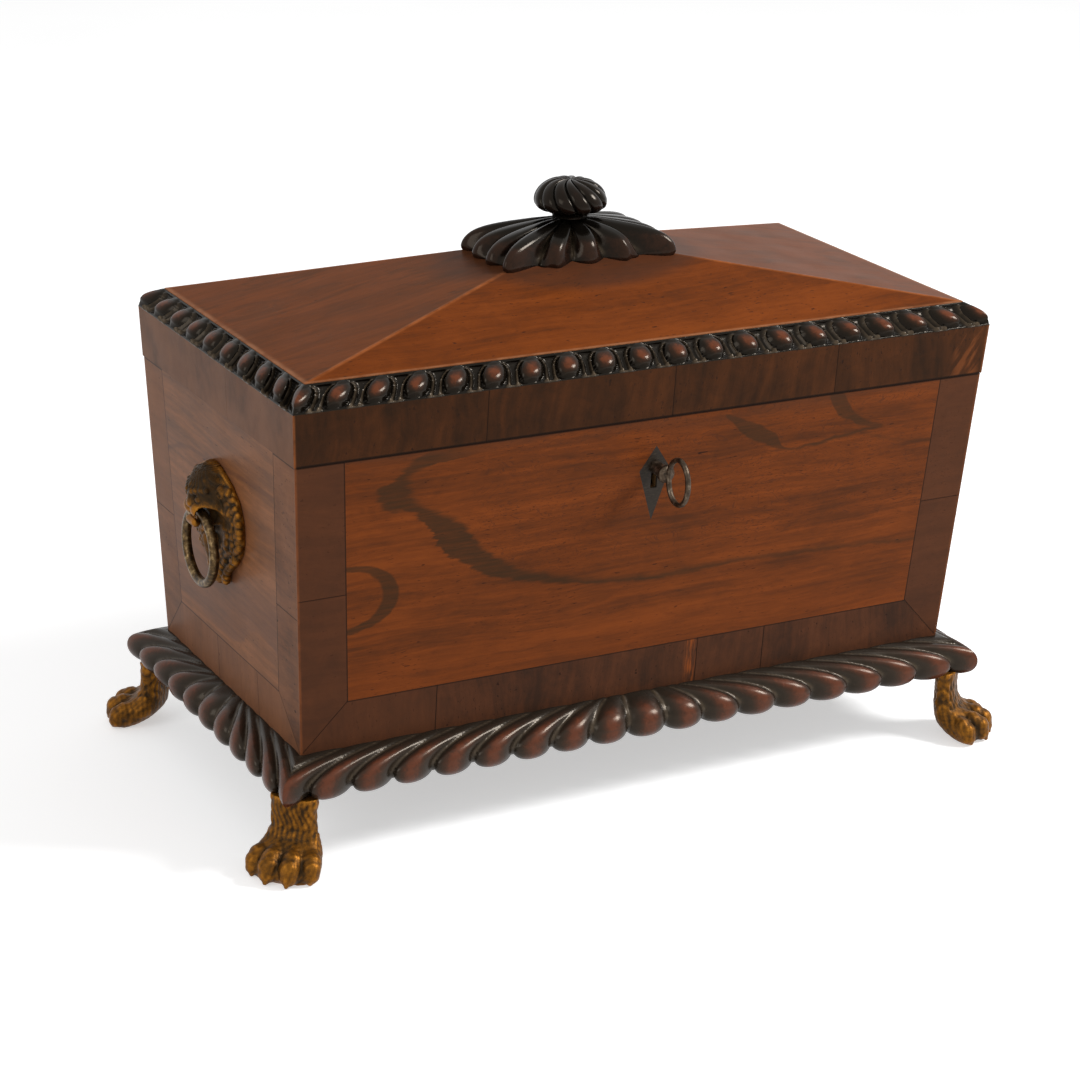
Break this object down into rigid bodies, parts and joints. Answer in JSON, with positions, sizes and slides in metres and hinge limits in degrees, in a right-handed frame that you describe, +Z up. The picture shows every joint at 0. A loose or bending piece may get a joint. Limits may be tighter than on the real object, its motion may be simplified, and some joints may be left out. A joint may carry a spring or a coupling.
{
  "type": "tea chest",
  "caption": "Tapered rosewood tea chest with a hipped lid, carved bead and gadroon mouldings, lobed rosette with fluted knob, lion masks with rings and paw feet.",
  "frame": {"origin": "bottom centre of the bounding box with the lid shut, at the soles of the feet, key included", "axes": "+X along the chest's length, to the right when facing the keyhole; +Y from the front to the back; +Z up"},
  "size_m": [0.3586, 0.2026, 0.2486],
  "materials": {
    "rosewood_veneer": "polished",
    "crossbanding": "polished",
    "carved_rosewood": "satin",
    "gilt_brass": "aged gilding",
    "brass": "satin",
    "steel": "dull",
    "dark_inlay": "polished",
    "clear_glass": "polished",
    "velvet": "pile",
    "inner_rosewood": "satin",
    "carcase_wood": "plain"
  },
  "bodies": {
    "chest": {"carcase_front": "carcase_wood", "carcase_back": "carcase_wood", "carcase_left": "carcase_wood", "carcase_right": "carcase_wood", "bottom_board": "carcase_wood", "front_veneer": "rosewood_veneer", "back_veneer": "rosewood_veneer", "left_veneer": "rosewood_veneer", "right_veneer": "rosewood_veneer", "front_crossbanding": "crossbanding", "end_crossbanding": "crossbanding", "base_moulding_front": "carved_rosewood", "base_moulding_back": "carved_rosewood", "base_moulding_left": "carved_rosewood", "base_moulding_right": "carved_rosewood", "paw_foot_front_left": "gilt_brass", "paw_foot_front_right": "gilt_brass", "paw_foot_back_left": "gilt_brass", "paw_foot_back_right": "gilt_brass", "foot_studs": "steel", "escutcheon": "dark_inlay", "lock_case": "brass", "lock_top_plate": "brass", "drill_pin": "steel", "box_screws": "steel", "partitions": "inner_rosewood", "ledges": "inner_rosewood", "well_board": "inner_rosewood", "floor_linings": "velvet", "canister_left": "inner_rosewood", "canister_right": "inner_rosewood", "mixing_bowl": "clear_glass", "lion_mask_left": "gilt_brass", "lion_mask_right": "gilt_brass", "mask_pins": "brass", "hinge_leaves_lower": "brass", "hinge_pins": "brass"},
    "lid": {"lid_rails": "carcase_wood", "lid_frieze": "crossbanding", "roof_board": "carcase_wood", "roof_veneers": "rosewood_veneer", "lid_moulding_front": "carved_rosewood", "lid_moulding_back": "carved_rosewood", "lid_moulding_left": "carved_rosewood", "lid_moulding_right": "carved_rosewood", "finial_rosette": "carved_rosewood", "finial_knob": "carved_rosewood", "lid_lining": "velvet", "link_plate": "brass", "hinge_leaves_upper": "brass", "lid_screws": "steel"},
    "key": {"key": "steel"},
    "lock_bolt": {"lock_bolt": "steel"},
    "ring_left": {"ring_left": "gilt_brass"},
    "ring_right": {"ring_right": "gilt_brass"},
    "canister_lid_left": {"canister_left_lid": "inner_rosewood", "canister_left_knob": "inner_rosewood"},
    "canister_lid_right": {"canister_right_lid": "inner_rosewood", "canister_right_knob": "inner_rosewood"}
  },
  "joints": [
    {"name": "lid_hinge", "type": "hinge", "parent": "chest", "child": "lid", "pos_m": [0, 0.0856, 0.168], "axis": [-1, 0, 0], "range_deg": [0, 95]},
    {"name": "key_turn", "type": "hinge", "parent": "chest", "child": "key", "pos_m": [0, -0.07433, 0.147], "axis": [0, 0.9982, 0.0605], "range_deg": [0, 360]},
    {"name": "bolt_slide", "type": "slide", "parent": "chest", "child": "lock_bolt", "axis": [1, 0, 0], "range_m": [0, 0.005]},
    {"name": "ring_left_swing", "type": "hinge", "parent": "chest", "child": "ring_left", "pos_m": [-0.16587, 0.0034, 0.1255], "axis": [0, 1, 0], "range_deg": [0, 90]},
    {"name": "ring_right_swing", "type": "hinge", "parent": "chest", "child": "ring_right", "pos_m": [0.16587, 0.0034, 0.1255], "axis": [0, -1, 0], "range_deg": [0, 90]},
    {"name": "canister_lid_left_lift", "type": "slide", "parent": "chest", "child": "canister_lid_left", "axis": [0, 0, 1], "range_m": [0, 0.02]},
    {"name": "canister_lid_right_lift", "type": "slide", "parent": "chest", "child": "canister_lid_right", "axis": [0, 0, 1], "range_m": [0, 0.02]}
  ],
  "couplings": [
    {"joint": "bolt_slide", "follows": "key_turn", "m_per_rad": 0.00079572}
  ]
}
